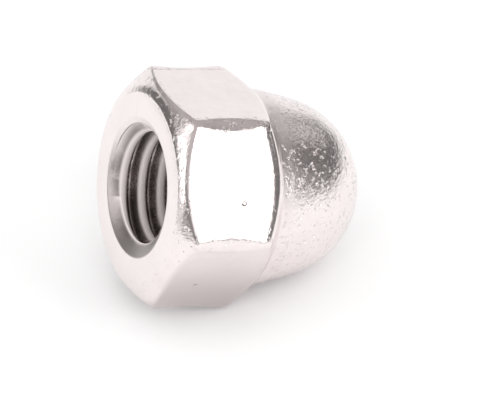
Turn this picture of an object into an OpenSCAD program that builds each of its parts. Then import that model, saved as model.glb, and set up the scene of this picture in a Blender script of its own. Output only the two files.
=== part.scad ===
// Hexagon cap nut with a domed end and a blind metric thread.
// It lies on one flat: the thread runs along X, with its mouth towards -X and the dome towards +X.
// The origin is on the floor, below the middle of the nut.

/* [Hexagon] */
// Width across two opposite flats
across_flats = 8; // [7.7:0.1:10]
// Distance from the bearing face to the dome end of a flat, on the flat's centre line
flat_len = 4; // [3:0.1:4.8]
// Radius of the six rounded corners
corner_r = 0.46; // [0.2:0.02:0.8]
// Diameter of the flat bearing face
face_d = 7.15; // [6.4:0.05:7.5]
// Slope of the chamfer at the mouth, from the plane of the bearing face
front_angle = 34; // [20:1:45]
// Slope of the chamfer at the dome, from the same plane
back_angle = 35; // [25:1:45]

/* [Dome] */
// Overall length, from the bearing face to the tip of the dome
nut_len = 8.85; // [8.4:0.05:11]
// Diameter of the dome where it leaves the hexagon
dome_d = 7.5; // [7:0.05:7.6]
// Distance of that place from the end of the flats
neck_len = 0.42; // [0.3:0.01:0.6]
// Radius of the concave fillet between the back chamfer and the dome
neck_fillet_r = 0.4; // [0.2:0.02:0.5]
// Radius of the long curve from the neck to the nose
side_r = 15; // [10:0.5:30]
// Radius of the round nose
nose_r = 3.45; // [2.9:0.05:3.6]

/* [Hole] */
// Diameter of the tapping-drill hole, which the crests of the thread lie on
minor_d = 4.2; // [3.9:0.05:4.4]
// Depth of the hole at full diameter
drill_depth = 6.2; // [5:0.1:6.4]
// Full angle of the cone that the drill leaves at the bottom
drill_point_angle = 118; // [118:1:135]
// Diameter of the countersink at the bearing face
countersink_d = 5.3; // [5:0.05:5.7]
// Full angle of the countersink
countersink_angle = 120; // [90:1:120]

/* [Hidden] */
$fn = 128;
// how far the cutting shapes run out past the surfaces that they cut
overcut = 1;
// how far an arc runs through the line that it blends into, so that the two meet in a clear point
crossing = 0.002;

flat_r = across_flats / 2;
face_r = face_d / 2;
minor_r = minor_d / 2;
countersink_r = countersink_d / 2;
// distance from the thread axis to a sharp corner of the bar, and to the centre of a corner's arc
bar_r = flat_r / cos(30);
corner_centre_r = (flat_r - corner_r) / cos(30);

// The turned outline lies in a plane, as [radius, distance from the bearing face]. The nose is an arc
// about the thread axis, and the side is an arc through the neck that blends into it.
neck = [dome_d / 2, flat_len + neck_len];
nose_centre = [0, nut_len - nose_r];
side_centre = circles_meeting(neck, side_r, nose_centre, side_r - nose_r + crossing);
nose_start = side_centre + side_r * unit(nose_centre - side_centre);

// the back chamfer, as a point on it and its unit vectors, outwards and in towards the axis
chamfer_edge = [flat_r, flat_len];
chamfer_out = [sin(back_angle), cos(back_angle)];
chamfer_in = [-cos(back_angle), sin(back_angle)];
fillet_centre = outside_corner(chamfer_edge, chamfer_out, chamfer_in, side_centre, side_r, neck_fillet_r);
fillet_start = fillet_centre - neck_fillet_r * chamfer_out;
fillet_end = fillet_centre + neck_fillet_r * unit(side_centre - fillet_centre);

function unit(v) = v / norm(v);

// the point at distance a from p and b from q, on the side of the axis
function circles_meeting(p, a, q, b) =
    let (gap = norm(q - p), along = (a * a - b * b + gap * gap) / (2 * gap), u = unit(q - p))
    p + along * u + sqrt(a * a - along * along) * [-u[1], u[0]];

// the point at distance r from the outer side of a line and of a circle of radius big_r about c
function outside_corner(p, out, along, c, big_r, r) =
    let (w = p + r * out - c, b = w * along)
    p + r * out - (b + sqrt(b * b - w * w + (big_r + r) * (big_r + r))) * along;

// Outline of the hexagon's end chamfers, run on to the thread axis inside the dome
module chamfered_outline() {
    polygon([
        [0, 0],
        [face_r, 0],
        [bar_r, (bar_r - face_r) * tan(front_angle)],
        [bar_r, flat_len - (bar_r - flat_r) * tan(back_angle)],
        [0, flat_len + flat_r * tan(back_angle)]
    ]);
}

// Outline of the dome, run on into the hexagon
module dome_outline() {
    root = flat_len / 2;
    intersection() {
        translate(side_centre) circle(r = side_r);
        union() {
            translate(nose_centre) circle(r = nose_r);
            square([bar_r, nose_start[1]]);
        }
        translate([0, root]) square([bar_r, nut_len - root]);
    }
}

// Outline of the whole blank as it comes from the lathe
module turned_outline() {
    difference() {
        union() {
            chamfered_outline();
            dome_outline();
            polygon([fillet_start, fillet_end, [flat_r / 2, flat_len]]);
        }
        translate(fillet_centre) circle(r = neck_fillet_r + crossing);
    }
}

// Outline of the drawn bar: a hexagon with round corners
module bar_outline() {
    reach = 2 * corner_r;
    difference() {
        rotate(30) circle(r = bar_r, $fn = 6);
        for (i = [0:5])
            rotate(60 * i + 30) translate([corner_centre_r, 0])
                difference() {
                    polygon([[0, 0], [reach, -reach * tan(30)], [reach, reach * tan(30)]]);
                    circle(r = corner_r + crossing);
                }
    }
}

// What the countersink and the tapping drill take out
module blind_hole() {
    rise = tan(90 - countersink_angle / 2);
    countersink_depth = (countersink_r - minor_r) * rise;
    translate([0, 0, -overcut])
        cylinder(h = countersink_depth + overcut, r1 = countersink_r + overcut / rise, r2 = minor_r);
    cylinder(h = drill_depth, r = minor_r);
    translate([0, 0, drill_depth])
        cylinder(h = minor_r / tan(drill_point_angle / 2), r1 = minor_r, r2 = 0);
}

// The nut, upright on its bearing face
module upright_nut() {
    difference() {
        intersection() {
            linear_extrude(nut_len + overcut) bar_outline();
            rotate_extrude() turned_outline();
        }
        blind_hole();
    }
}

module cap_nut() {
    color("#d8d2d0")
        translate([-nut_len / 2, 0, flat_r])
            rotate([0, 90, 0])
                upright_nut();
}

cap_nut();
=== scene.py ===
import math

import bmesh
import bpy
from mathutils import Matrix, Vector


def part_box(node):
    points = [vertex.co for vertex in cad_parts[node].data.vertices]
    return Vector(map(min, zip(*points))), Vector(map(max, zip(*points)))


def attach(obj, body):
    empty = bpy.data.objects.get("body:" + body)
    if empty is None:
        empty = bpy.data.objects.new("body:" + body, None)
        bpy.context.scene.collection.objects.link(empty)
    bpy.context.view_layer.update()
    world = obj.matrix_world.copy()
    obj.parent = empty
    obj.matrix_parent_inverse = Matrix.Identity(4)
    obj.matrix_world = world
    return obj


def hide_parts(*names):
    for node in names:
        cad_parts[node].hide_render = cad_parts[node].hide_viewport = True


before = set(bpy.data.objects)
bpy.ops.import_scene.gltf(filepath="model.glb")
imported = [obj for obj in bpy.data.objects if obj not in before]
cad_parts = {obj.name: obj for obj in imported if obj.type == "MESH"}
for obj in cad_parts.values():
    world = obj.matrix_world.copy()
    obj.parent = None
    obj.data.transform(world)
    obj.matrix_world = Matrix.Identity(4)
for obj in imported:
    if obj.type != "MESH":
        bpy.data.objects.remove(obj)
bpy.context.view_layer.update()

# ---------------------------------------------------------------------------
# The blank: a length of 8 mm hexagon bar in free-cutting steel. It is turned to
# a domed cap behind, and chamfered round both ends of the hexagon.
# ---------------------------------------------------------------------------
# It is drawn in millimetres along X, with its mouth at 0 and its axis on X, and
# is set in place in metres once the thread is in it. "Out" is out from the axis.
NUT_LENGTH = 8.85

# The flats, and the round corners between them, which are fullest halfway along.
FLAT_OUT = 4.0
FLAT_LENGTH = 4.1
HALF_CORNER = math.radians(30)
CORNER_R = 0.32
FULL_CORNER_R = 0.7
FULL_FROM = 0.7
FULL_TO = 3.4

# The length on which each flat rolls off before the back chamfer, and its radius.
ROLL_OFF = 0.42
ROLL_R = 1.2

# The bearing face and the chamfers. Slopes are from the plane of that face.
FACE_R = 3.525
FACE_SLOPE = math.radians(12)
CROWN_R = 1.4
FRONT_SLOPE = math.radians(35)
BACK_SLOPE = math.radians(35)

# The widths of the worn edges.
FRONT_WEAR = 0.11
BACK_WEAR = 0.085
MOUTH_WEAR = 0.06

# The countersink, drawn on inwards to where the thread cuts its foot away.
COUNTERSINK_R = 2.65
COUNTERSINK_SLOPE = math.radians(30)
RECESS_R = 1.6

# The dome, in places (along, out): a narrow neck, a long curved side and a round nose. Its last
# ring is drawn at a small angle from the axis.
NECK = Vector((4.45, 3.75))
NECK_R = 0.2
SIDE_R = 15.0
NOSE_R = 3.45
NOSE_CENTRE = Vector((NUT_LENGTH - NOSE_R, 0.0))
LAST_NOSE_RING = math.radians(1.5)

# The number of steps that each stretch is drawn in.
CORNER_STEPS = 12
FLAT_CUTS = 14
FLAT_RINGS = 9
ROLL_STEPS = 3
CROWN_STEPS = 8
WEAR_STEPS = 4
NECK_STEPS = 6
SIDE_STEPS = 8
NOSE_STEPS = 26


def hexagon_loop(bm):
    """The bar's section, a hexagon with its corners drawn round, as one closed loop of edges."""
    upright = Matrix.Rotation(math.radians(90), 4, "Y")
    sharp_r = FLAT_OUT / math.cos(HALF_CORNER)
    made = bmesh.ops.create_circle(bm, cap_ends=True, segments=6, radius=sharp_r, matrix=upright)
    bmesh.ops.bevel(bm, geom=made["verts"], offset=CORNER_R * math.tan(HALF_CORNER),
                    offset_type="OFFSET", affect="VERTICES", segments=CORNER_STEPS, profile=0.5,
                    material=-1)
    flats = [e for e in bm.edges if e.calc_length() > CORNER_R]
    bmesh.ops.subdivide_edges(bm, edges=flats, cuts=FLAT_CUTS)
    bmesh.ops.delete(bm, geom=bm.faces[:], context="FACES_ONLY")
    return bm.edges[:], bm.verts[:]


def out_from_axis(point):
    return math.hypot(point.y, point.z)


def next_ring(bm, edges):
    """Draws a loop out into a new ring, and gives the new edges and corners."""
    drawn = bmesh.ops.extrude_edge_only(bm, edges=edges)["geom"]
    new_edges = [g for g in drawn if isinstance(g, bmesh.types.BMEdge)]
    return new_edges, [g for g in drawn if isinstance(g, bmesh.types.BMVert)]


def turned_ring(bm, edges, point):
    """Draws a loop out to a true circle at a point (along, out) of the turned outline."""
    edges, verts = next_ring(bm, edges)
    for v in verts:
        scale = point[1] / out_from_axis(v.co)
        v.co = (point[0], v.co.y * scale, v.co.z * scale)
    return edges


def close_on_axis(bm, edges, along):
    """Draws the last ring in to one point on the axis."""
    verts = next_ring(bm, edges)[1]
    bmesh.ops.pointmerge(bm, verts=verts, merge_co=Vector((along, 0, 0)))


def redraw_corners(verts, old_r, new_r):
    """Gives the six round corners of a ring another radius, against the same flats."""
    for v in verts:
        turn = round(math.atan2(v.co.z, v.co.y) / (2 * HALF_CORNER)) * 2 * HALF_CORNER
        out = Vector((0, math.cos(turn), math.sin(turn)))
        from_axis = Vector((0, v.co.y, v.co.z))
        from_centre = from_axis - out * (FLAT_OUT - old_r) / math.cos(HALF_CORNER)
        # The points of the flats lie further from the corner's centre than its radius.
        if from_centre.length < old_r * 1.001:
            place = out * (FLAT_OUT - new_r) / math.cos(HALF_CORNER) + from_centre * new_r / old_r
            v.co = (v.co.x, place.y, place.z)


def arc(centre, radius, first, last, steps):
    """Points (along, out) on an arc of an outline, both ends among them."""
    turns = [first + (last - first) * i / steps for i in range(steps + 1)]
    return [(centre.x + radius * math.cos(t), centre.y + radius * math.sin(t)) for t in turns]


def angle_of(vector):
    return math.atan2(vector.y, vector.x)


# The side of the dome is an arc through the neck that blends into the nose.
reach = (NOSE_CENTRE - NECK).length
along = (SIDE_R ** 2 - (SIDE_R - NOSE_R) ** 2 + reach ** 2) / (2 * reach)
towards_nose = (NOSE_CENTRE - NECK) / reach
across = Vector((towards_nose.y, -towards_nose.x))
side_centre = NECK + along * towards_nose + math.sqrt(SIDE_R ** 2 - along ** 2) * across
blend_angle = angle_of(NOSE_CENTRE - side_centre)

# A small fillet lies against the back chamfer and the side of the dome.
chamfer_normal = Vector((math.cos(BACK_SLOPE), math.sin(BACK_SLOPE)))
chamfer_down = Vector((math.sin(BACK_SLOPE), -math.cos(BACK_SLOPE)))
fillet_line = Vector((FLAT_LENGTH, FLAT_OUT)) + NECK_R * chamfer_normal
from_side = fillet_line - side_centre
down = from_side.dot(chamfer_down)
run = down + math.sqrt(down ** 2 - from_side.length_squared + (SIDE_R + NECK_R) ** 2)
fillet_centre = fillet_line - run * chamfer_down
side_angle = angle_of(fillet_centre - side_centre)

dome_outline = arc(fillet_centre, NECK_R, math.pi + BACK_SLOPE, math.pi + side_angle, NECK_STEPS)
dome_outline += arc(side_centre, SIDE_R, side_angle, blend_angle, SIDE_STEPS)[1:]
dome_outline += arc(NOSE_CENTRE, NOSE_R, blend_angle, LAST_NOSE_RING, NOSE_STEPS)[1:]

# The chamfer at the mouth is crowned from the edge of the bearing face out to the corners' slope.
crown_centre = Vector((CROWN_R * math.cos(FACE_SLOPE), FACE_R - CROWN_R * math.sin(FACE_SLOPE)))
crown = arc(crown_centre, CROWN_R, math.pi - FRONT_SLOPE, math.pi - FACE_SLOPE, CROWN_STEPS)


def front_chamfer(out):
    """Depth of the chamfer at the mouth past its crown, at a distance out from the axis."""
    return crown[0][0] + (out - crown[0][1]) * math.tan(FRONT_SLOPE)


def back_chamfer(out):
    return FLAT_LENGTH - (out - FLAT_OUT) * math.tan(BACK_SLOPE)


# The corners are tight where the chamfers cut them, and fullest halfway between.
bm = bmesh.new()
front_loop, verts = hexagon_loop(bm)
for v in verts:
    v.co.x = front_chamfer(out_from_axis(v.co))

loop = front_loop
corner_r = CORNER_R
for i in range(1, FLAT_RINGS + 1):
    share = i / (FLAT_RINGS + 1)
    loop, verts = next_ring(bm, loop)
    full_r = CORNER_R + (FULL_CORNER_R - CORNER_R) * math.sin(math.pi * share)
    redraw_corners(verts, corner_r, full_r)
    corner_r = full_r
    for v in verts:
        v.co.x = FULL_FROM + share * (FULL_TO - FULL_FROM)

# Towards the dome each flat rolls off gently, before the chamfer cuts it.
rolled = []
for i in range(ROLL_STEPS + 1):
    loop, verts = next_ring(bm, loop)
    redraw_corners(verts, corner_r, CORNER_R)
    corner_r = CORNER_R
    run = ROLL_OFF * i / ROLL_STEPS
    for v in verts:
        v.co.x = back_chamfer(out_from_axis(v.co)) - ROLL_OFF + run
    rolled.append((verts, run ** 2 / (2 * ROLL_R)))
back_loop = loop

for point in dome_outline:
    loop = turned_ring(bm, loop, point)
close_on_axis(bm, loop, NUT_LENGTH)
for verts, sunk in rolled:
    for v in verts:
        v.co.yz = v.co.yz * (1 - sunk / FLAT_OUT)

# The crown's outermost points would stand past the flats, which cut them off.
loop = front_loop
for point in crown:
    if point[1] < FLAT_OUT - FRONT_WEAR:
        loop = turned_ring(bm, loop, point)
mouth_loop = turned_ring(bm, loop, (0, COUNTERSINK_R))
recess_depth = (COUNTERSINK_R - RECESS_R) * math.tan(COUNTERSINK_SLOPE)
loop = turned_ring(bm, mouth_loop, (recess_depth, RECESS_R))
close_on_axis(bm, loop, recess_depth)

for edges, wear in ((front_loop, FRONT_WEAR), (back_loop, BACK_WEAR), (mouth_loop, MOUTH_WEAR)):
    bmesh.ops.bevel(bm, geom=edges, offset=wear, offset_type="OFFSET", affect="EDGES",
                    segments=WEAR_STEPS, profile=0.5, material=-1)
bmesh.ops.recalc_face_normals(bm, faces=bm.faces)


def as_object(bm, name):
    mesh = bpy.data.meshes.new(name)
    bm.to_mesh(mesh)
    bm.free()
    made = bpy.data.objects.new(name, mesh)
    bpy.context.scene.collection.objects.link(made)
    return made


nut = as_object(bm, "cap_nut_body")

# ---------------------------------------------------------------------------
# The hole: drilled 4.2 mm to a blind end and tapped M5 x 0.8, right-handed. The
# tap's last turns run out, and the countersink leads its first turn in.
# ---------------------------------------------------------------------------
PITCH = 0.8
CREST_R = 2.1
ROOT_R = 2.5
HALF_CREST = 0.119
HALF_ROOT = 0.05
CREST_WEAR = 0.09
CREST_STEPS = 3

# Where the first crest stands, and how far in the tap cuts at full depth and at all.
FIRST_CREST = 0.41
FIRST_CREST_TURN = math.radians(-29)
TAP_START = -0.4
TAP_FULL_DEPTH = 4.6
TAP_DEPTH = 5.6

# The drill is a hair wider than the crests, so that it clears the end of the run-out.
DRILL_START = 5.2
DRILL_R = 2.12
DRILL_DEPTH = 6.2
DRILL_POINT = math.radians(59)

TURN_STEPS = 128
WELD_GAP = 0.0001
CUT_GAP = 0.00001
SHARP_EDGE = math.radians(32)
MILLIMETRE = 0.001


def wire(bm, points):
    """Draws an outline through points (along, out) above the axis, and gives its corners."""
    corners = [bm.verts.new((along, out, 0)) for along, out in points]
    for a, b in zip(corners, corners[1:]):
        bm.edges.new((a, b))
    return corners


def sweep_round(bm, turns, advance):
    """Sweeps an outline round the axis, and along it by an advance in each turn."""
    bmesh.ops.spin(bm, geom=bm.verts[:] + bm.edges[:], cent=(0, 0, 0), axis=(1, 0, 0),
                   angle=math.tau * turns, dvec=(advance / TURN_STEPS, 0, 0),
                   steps=TURN_STEPS * turns, use_merge=(advance == 0))
    bmesh.ops.remove_doubles(bm, verts=bm.verts[:], dist=WELD_GAP)


# One pitch of the tap's outline, from root to root of the nut's thread.
bm = bmesh.new()
corners = wire(bm, ((-PITCH / 2, ROOT_R), (HALF_ROOT - PITCH / 2, ROOT_R), (-HALF_CREST, CREST_R),
                    (HALF_CREST, CREST_R), (PITCH / 2 - HALF_ROOT, ROOT_R), (PITCH / 2, ROOT_R)))
bmesh.ops.bevel(bm, geom=corners[1:-1], offset=CREST_WEAR, offset_type="OFFSET",
                affect="VERTICES", segments=CREST_STEPS, profile=0.5, material=-1)

# The outline stands at the angle where its crest is FIRST_CREST deep, a few turns further out.
turns_before = 2
turns = turns_before + math.ceil(TAP_DEPTH / PITCH) + 1
first_turn = Matrix.Rotation(FIRST_CREST_TURN, 3, "X")
bmesh.ops.translate(bm, verts=bm.verts[:], vec=(FIRST_CREST - turns_before * PITCH, 0, 0))
bmesh.ops.rotate(bm, verts=bm.verts[:], cent=(0, 0, 0), matrix=first_turn)
sweep_round(bm, turns, PITCH)
for along, past_end in ((TAP_START, False), (TAP_DEPTH, True)):
    bmesh.ops.bisect_plane(bm, geom=bm.verts[:] + bm.edges[:] + bm.faces[:], dist=CUT_GAP,
                           plane_co=(along, 0, 0), plane_no=(1, 0, 0), clear_outer=past_end,
                           clear_inner=not past_end)
for v in bm.verts:
    fade = min(1, (TAP_DEPTH - v.co.x) / (TAP_DEPTH - TAP_FULL_DEPTH))
    out = out_from_axis(v.co)
    scale = (CREST_R + (out - CREST_R) * fade) / out
    v.co = (v.co.x, v.co.y * scale, v.co.z * scale)

# Each end of the tap is closed with one flat face.
rims = [e for e in bm.edges if e.is_boundary]
bmesh.ops.holes_fill(bm, edges=rims, sides=0)
bmesh.ops.recalc_face_normals(bm, faces=bm.faces)
tap = as_object(bm, "tap")

bm = bmesh.new()
drill_tip = DRILL_DEPTH + DRILL_R / math.tan(DRILL_POINT)
wire(bm, ((DRILL_START, 0), (DRILL_START, DRILL_R), (DRILL_DEPTH, DRILL_R), (drill_tip, 0)))
sweep_round(bm, 1, 0)
bmesh.ops.recalc_face_normals(bm, faces=bm.faces)
drill = as_object(bm, "drill")


def cut_away(piece, cutter):
    """Takes the cutter's shape out of the piece for good, and the cutter with it."""
    cut = piece.modifiers.new("cut", "BOOLEAN")
    cut.operation = "DIFFERENCE"
    cut.solver = "EXACT"
    cut.object = cutter
    bpy.context.view_layer.update()
    piece_now = piece.evaluated_get(bpy.context.evaluated_depsgraph_get())
    piece.data = bpy.data.meshes.new_from_object(piece_now)
    piece.modifiers.clear()
    bpy.data.objects.remove(cutter)


cut_away(nut, tap)
cut_away(nut, drill)

low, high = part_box("cap_nut")
axis_start = Vector((low.x, (low.y + high.y) / 2, (low.z + high.z) / 2))
nut.data.transform(Matrix.Translation(axis_start) @ Matrix.Scale(MILLIMETRE, 4))
nut.data.shade_smooth()
nut.data.set_sharp_from_angle(angle=SHARP_EDGE)
normals = nut.modifiers.new("flat faces stay flat", "WEIGHTED_NORMAL")
normals.keep_sharp = True

# ---------------------------------------------------------------------------
# The plating: a thin, bright and faintly pink coat over all of the steel. It is
# smooth on the drawn flats, pitted and dented on the turned dome and the front
# chamfer, and darker in the grooves of the thread. Shade is painted into its
# colour underneath and on the lower side of the countersink.
# ---------------------------------------------------------------------------
PLATE = (0.89, 0.82, 0.81, 1)
WORN_PLATE = (0.83, 0.76, 0.75, 1)
# The colour of the painted shade underneath.
PAINTED_SHADE_PLATE = (0.6, 0.545, 0.54, 1)
# The dark colour in the grooves of the thread, and of the painted shade on the countersink's lower
# side.
GROOVE_AND_SHADE_DARK = (0.17, 0.145, 0.14, 1)
RELIEF_STRENGTH = 0.6
RELIEF_DEPTH = 0.05 * MILLIMETRE

# Three small knocks: on the flat beside the mouth, on the flat below it and near the nose.
KNOCKS = ((2.53, -3.82, 1.39), (1.63, -3.21, -2.44), (7.42, -1.74, 2.19))
KNOCK_R = 0.13
KNOCK_FLOOR_R = 0.03
KNOCK_DEPTH = 1.5


class Signal:
    """A socket of a material. Sums on signals add Math nodes, and node() adds any other node."""

    def __init__(self, tree, socket):
        self.tree = tree
        self.socket = socket

    @classmethod
    def node(cls, tree, kind, settings, sockets, output=0):
        made = tree.nodes.new(kind)
        for name, value in settings.items():
            setattr(made, name, value)
        for name, value in sockets.items():
            if isinstance(value, cls):
                tree.links.new(value.socket, made.inputs[name])
            else:
                made.inputs[name].default_value = value
        return None if output is None else cls(tree, made.outputs[output])

    def math(self, operation, *values):
        sockets = dict(enumerate(values))
        return self.node(self.tree, "ShaderNodeMath", {"operation": operation}, sockets)

    def __add__(self, other):
        return self.math("ADD", self, other)

    def __mul__(self, other):
        return self.math("MULTIPLY", self, other)

    def __sub__(self, other):
        return self.math("SUBTRACT", self, other)

    def __rsub__(self, other):
        return self.math("SUBTRACT", other, self)

    __radd__ = __add__
    __rmul__ = __mul__


def ramp(value, start, end):
    """0 before start and 1 after end, smoothly between them."""
    settings = {"interpolation_type": "SMOOTHSTEP"}
    sockets = {"Value": value, "From Min": start, "From Max": end}
    return Signal.node(value.tree, "ShaderNodeMapRange", settings, sockets)


def noise(place, scale, detail, roughness=0.5):
    """A cloudy pattern, with about as many clouds to a unit of the place as its scale says."""
    sockets = {"Vector": place, "Scale": scale, "Detail": detail, "Roughness": roughness}
    return Signal.node(place.tree, "ShaderNodeTexNoise", {}, sockets, "Fac")


def blend(share, first, second):
    sockets = {0: share, 6: first, 7: second}
    return Signal.node(share.tree, "ShaderNodeMix", {"data_type": "RGBA"}, sockets, 2)


def stretched(x, y, z):
    """The place on the nut, with each direction stretched by its own amount."""
    return Signal.node(x.tree, "ShaderNodeCombineXYZ", {}, {0: x, 1: y, 2: z})


def measured(place, operation, other):
    """The number that a Vector Math node finds for a place and a fixed point or direction."""
    settings = {"operation": operation}
    return Signal.node(place.tree, "ShaderNodeVectorMath", settings, {0: place, 1: other}, "Value")


def bare_material(name):
    made = bpy.data.materials.new(name)
    made.use_nodes = True
    made.node_tree.nodes.clear()
    return made


# Everything on the nut is patterned in millimetres from its mouth and its axis.
plating = bare_material("bright_plated_steel")
tree = plating.node_tree
place = Signal.node(tree, "ShaderNodeTexCoord", {}, {}, "Object")
place = Signal.node(tree, "ShaderNodeMapping", {"vector_type": "TEXTURE"},
                    {"Vector": place, "Location": axis_start,
                     "Scale": (MILLIMETRE, MILLIMETRE, MILLIMETRE)})
along, across, upwards = (
    Signal.node(tree, "ShaderNodeSeparateXYZ", {}, {0: place}, i) for i in range(3))
out = across.math("SQRT", across * across + upwards * upwards)

# Where a place lies: in the hole, on the turned dome, on the front chamfer or on a corner.
in_hole = ramp(out, COUNTERSINK_R + 0.07, COUNTERSINK_R - 0.03)
in_hole = in_hole * ramp(along, drill_tip + 0.13, drill_tip + 0.03)
in_bore = in_hole * ramp(out, ROOT_R + 0.06, ROOT_R) * ramp(along, 0.1, 0.35)
in_groove = in_bore * ramp(out, CREST_R + 0.01, CREST_R + 0.14)
on_crest = in_bore - in_groove
countersunk = in_hole - in_bore
turned = ramp(along, FLAT_LENGTH, FLAT_LENGTH + 0.2)
by_the_neck = turned * ramp(along, NECK.x + 0.85, NECK.x + 0.15)
chamfered = ramp(along, 0.55, 0.35) * ramp(out, FACE_R - 0.025, FACE_R + 0.075)
corner_out = math.hypot(FLAT_OUT, (FLAT_OUT - FULL_CORNER_R) * math.tan(HALF_CORNER))
on_corner = ramp(out, corner_out - 0.03, corner_out + 0.02) * (1 - turned)
rough_part = turned + chamfered * 0.4 + on_corner * 0.65

# What the surface carries: clouds, scuffs, grain, dents and the lines of drawing and turning.
cloud = noise(place, 0.7, 3.0)
scuffs = noise(place, 2.5, 4.0, 0.65)
grain = noise(place, 9.0, 3.0, 0.6)
dents = noise(place, 4.0, 2.0)
pits = ramp(noise(place, 5.5, 2.0), 0.6, 0.72)
nicks = ramp(noise(place, 2.2, 3.0, 0.6), 0.66, 0.74)
drawn_lines = noise(stretched(along * 0.7, across * 16, upwards * 16), 1.0, 3.0, 0.6)
tool_rings = noise(stretched(along * 22, out * 22, along), 1.0, 2.0)

# Painted shade darkens the coat underneath and on the lower side of the countersink,
# and the coat is darker in the grooves of the thread.
worn = ramp(cloud, 0.35, 0.75) * 0.4 + ramp(scuffs, 0.4, 0.7) * 0.4
# Painted shade on the flats and the dome, darker towards the paper below.
painted_underside_shade = ramp(upwards, -0.2, -3.6) * (1 - turned) * ramp(along, 0.3, 0.6)
painted_underside_shade = painted_underside_shade + ramp(upwards, -2.0, -3.4) * turned * 0.9
# Darker in the grooves of the thread.
groove_dark_and_painted_shade = in_groove * ramp(cloud, 0.2, 0.6) * 0.85
# Painted shade on the countersink, darker towards its lower side.
groove_dark_and_painted_shade = groove_dark_and_painted_shade + countersunk * ramp(upwards, 1.6, -1.8) * 0.62
colour = blend(worn, PLATE, WORN_PLATE)
colour = blend(painted_underside_shade, colour, PAINTED_SHADE_PLATE)
colour = blend(groove_dark_and_painted_shade, colour, GROOVE_AND_SHADE_DARK)

roughness = grain * 0.08 + cloud * 0.08 + 0.06 + by_the_neck * 0.16
roughness = roughness + in_bore * 0.14 + on_crest * 0.25 + countersunk * 0.24
metallic = 0.96 - on_crest * 0.9

relief = grain * (0.14 + rough_part * 0.5) + dents * (0.12 + rough_part * 0.5)
relief = relief + drawn_lines * 0.05 * (1 - turned) + tool_rings * turned * 0.1
relief = relief - pits * (rough_part * 0.9 + 0.05) - nicks * (turned * 0.7 + 0.1)
for knock in KNOCKS:
    apart = measured(place, "DISTANCE", knock)
    relief = relief - ramp(apart, KNOCK_R, KNOCK_FLOOR_R) * KNOCK_DEPTH
bump = Signal.node(tree, "ShaderNodeBump", {},
                   {"Strength": RELIEF_STRENGTH, "Distance": RELIEF_DEPTH, "Height": relief})
coat = Signal.node(tree, "ShaderNodeBsdfPrincipled", {},
                   {"Base Color": colour, "Metallic": metallic, "Roughness": roughness,
                    "Normal": bump})
Signal.node(tree, "ShaderNodeOutputMaterial", {}, {"Surface": coat}, None)
nut.data.materials.append(plating)
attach(nut, "root")
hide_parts("cap_nut")

# ---------------------------------------------------------------------------
# The studio: a sheet of white paper that the nut leans on, under a dark tent
# with open windows. The nut rests on the back edge of its flat and on its dome.
# ---------------------------------------------------------------------------
# The nut stays level at the origin, and the room is tipped round it instead.
LEAN = math.radians(16.5)
PAPER_R = 0.07
PAPER_STEPS = 96
PAPER_WHITE = (0.95, 0.95, 0.95, 1)
PAPER_GLOW = 0.05
WHITE = (1, 1, 1, 1)

room = Matrix.Rotation(-LEAN, 4, "Y")
up = room @ Vector((0, 0, 1))
lowest = min(v.co.dot(up) for v in nut.data.vertices)

bm = bmesh.new()
bmesh.ops.create_circle(bm, cap_ends=True, segments=PAPER_STEPS, radius=PAPER_R)
bmesh.ops.transform(bm, verts=bm.verts[:], matrix=Matrix.Translation(up * lowest) @ room)
floor = as_object(bm, "floor")


def background_seen(tree):
    """1 where the camera, a mirror or glass sees the background, and 0 where it lights things."""
    seen = Signal.node(tree, "ShaderNodeLightPath", {}, {}, "Is Camera Ray")
    for ray in ("Is Glossy Ray", "Is Transmission Ray"):
        seen = seen.math("MAXIMUM", seen, Signal.node(tree, "ShaderNodeLightPath", {}, {}, ray))
    return seen


# The paper is white from above, and clear from below, where it would hide the nut.
paper = bare_material("white_paper")
tree = paper.node_tree
from_below = Signal.node(tree, "ShaderNodeNewGeometry", {}, {}, "Backfacing")
matt = Signal.node(tree, "ShaderNodeBsdfDiffuse", {}, {"Color": PAPER_WHITE})
glow = Signal.node(tree, "ShaderNodeEmission", {},
                   {"Color": WHITE, "Strength": background_seen(tree) * PAPER_GLOW})
bright = Signal.node(tree, "ShaderNodeAddShader", {}, {0: matt, 1: glow})
clear = Signal.node(tree, "ShaderNodeBsdfTransparent", {}, {})
sheet = Signal.node(tree, "ShaderNodeMixShader", {}, {0: from_below, 1: bright, 2: clear})
Signal.node(tree, "ShaderNodeOutputMaterial", {}, {"Surface": sheet}, None)
floor.data.materials.append(paper)

# Each window is (from, to) round the tent and (from, to) above the paper, in degrees.
WINDOWS = (
    ((-116, -46), (10, 36)),
    ((34, 112), (-9, 8)),
    ((39, 112), (8, 23)),
    ((46, 72), (23, 30)),
    ((155, 180), (2, 34)),
    ((152, 164), (37, 46)),
    ((112, 119), (13, 19)),
    ((116, 124), (18, 24)),
    ((121, 130), (23, 28)),
    ((11, 38), (25, 32)),
    ((11, 20), (21, 27)),
    ((10, 17), (17, 22)),
    ((-31, -26), (11, 18)),
)
TENT_R = 0.32
TENT_RIM = -0.05
CELLS_ROUND = 180
CELLS_UP = 90
CLOTH = (0.12, 0.115, 0.115, 1)
LIT_CLOTH = (0.6, 0.57, 0.57, 1)
FOLDS_PER_METRE = 70.0


def is_open(cell):
    """True for a cell of the tent that lies below its rim or in a window."""
    centre = cell.calc_center_median()
    if centre.z < TENT_RIM:
        return True
    around = math.degrees(math.atan2(centre.y, centre.x))
    above = math.degrees(math.asin(centre.z / centre.length))
    for (start, end), (low_edge, high_edge) in WINDOWS:
        if low_edge < above < high_edge and any(start < a < end for a in (around, around + 360)):
            return True
    return False


bm = bmesh.new()
bmesh.ops.create_uvsphere(bm, u_segments=CELLS_ROUND, v_segments=CELLS_UP, radius=TENT_R)
bmesh.ops.delete(bm, geom=[f for f in bm.faces if is_open(f)], context="FACES")
bmesh.ops.transform(bm, verts=bm.verts[:], matrix=room)
tent = as_object(bm, "dark_tent")

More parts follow.
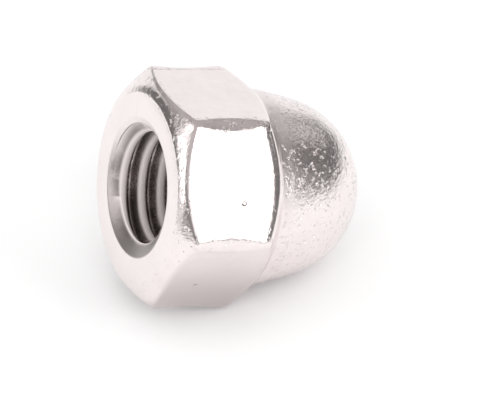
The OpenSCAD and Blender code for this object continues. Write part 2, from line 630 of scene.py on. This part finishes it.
# Daylight comes through the cloth overhead, in its folds and on the side that the mouth faces.
mouth_side = room @ Vector((-0.7, -0.7, 0))
cloth = bare_material("dark_cloth")
tree = cloth.node_tree
place = Signal.node(tree, "ShaderNodeTexCoord", {}, {}, "Object")
overhead = ramp(measured(place, "DOT_PRODUCT", up), 0.11, 0.24)
beside = ramp(measured(place, "DOT_PRODUCT", mouth_side), 0, 0.2)
folds = ramp(noise(place, FOLDS_PER_METRE, 3.0), 0.55, 0.75)
shade = blend(overhead * 0.7 + beside * 0.2 + folds * 0.6, CLOTH, LIT_CLOTH)
lit = Signal.node(tree, "ShaderNodeEmission", {}, {"Color": shade, "Strength": 1.0})
Signal.node(tree, "ShaderNodeOutputMaterial", {}, {"Surface": lit}, None)
tent.data.materials.append(cloth)
tent.visible_camera = False
tent.visible_diffuse = False
tent.visible_transmission = False
tent.visible_shadow = False

# The daylight outside is plain white, and a little weaker where it only lights things.
DAYLIGHT = 0.9
LAMPS_AWAY = 0.3
daylight = bpy.data.worlds.new("studio")
bpy.context.scene.world = daylight
daylight.use_nodes = True
tree = daylight.node_tree
tree.nodes.clear()
strength = background_seen(tree) * (1 - DAYLIGHT) + DAYLIGHT
sky = Signal.node(tree, "ShaderNodeBackground", {}, {"Color": WHITE, "Strength": strength})
Signal.node(tree, "ShaderNodeOutputWorld", {}, {"Surface": sky}, None)


def soft_light(name, around, above, size, power):
    """A square lamp that faces the nut, placed by its angles round the room and above the paper."""
    around, above = math.radians(around), math.radians(above)
    towards = Vector((math.cos(around), math.sin(around), math.tan(above))).normalized()
    lamp = bpy.data.lights.new(name, "AREA")
    lamp.shape = "SQUARE"
    lamp.size = size
    lamp.energy = power
    held = bpy.data.objects.new(name, lamp)
    held.location = (room @ towards) * LAMPS_AWAY
    held.rotation_euler = held.location.to_track_quat("Z", "Y").to_euler()
    bpy.context.scene.collection.objects.link(held)
    return held


soft_light("front_light", around=-60, above=21, size=0.13, power=0.2)
soft_light("back_light", around=167, above=18, size=0.14, power=0.075)
soft_light("top_light", around=158, above=41, size=0.05, power=0.011)
key_light = soft_light("key_light", around=-115, above=32, size=0.2, power=0.2)
key_light.visible_glossy = False

# ---------------------------------------------------------------------------
# The camera: a long lens well back from the nut, which looks down on its mouth
# and on one flat. It is rolled to stand upright in the tipped room.
# ---------------------------------------------------------------------------
CAMERA_AROUND = math.radians(-29.1154)
CAMERA_TILT = math.radians(64.115)
CAMERA_ROLL = math.radians(13.3347)
CAMERA_AIM = Vector((0.000375, 0, 0.004))
CAMERA_PLACE = Vector((-0.0000776, -0.0005072, 0.28))
LENS = 533.7

camera = bpy.data.objects.new("camera", bpy.data.cameras.new("camera"))
turn = Matrix.Rotation(CAMERA_AROUND, 4, "Z")
turn = turn @ Matrix.Rotation(CAMERA_TILT, 4, "X")
turn = turn @ Matrix.Rotation(CAMERA_ROLL, 4, "Z")
camera.matrix_world = Matrix.Translation(CAMERA_AIM) @ turn @ Matrix.Translation(CAMERA_PLACE)
camera.data.lens = LENS
bpy.context.scene.collection.objects.link(camera)
bpy.context.scene.camera = camera
bpy.context.scene.view_settings.view_transform = "Standard"
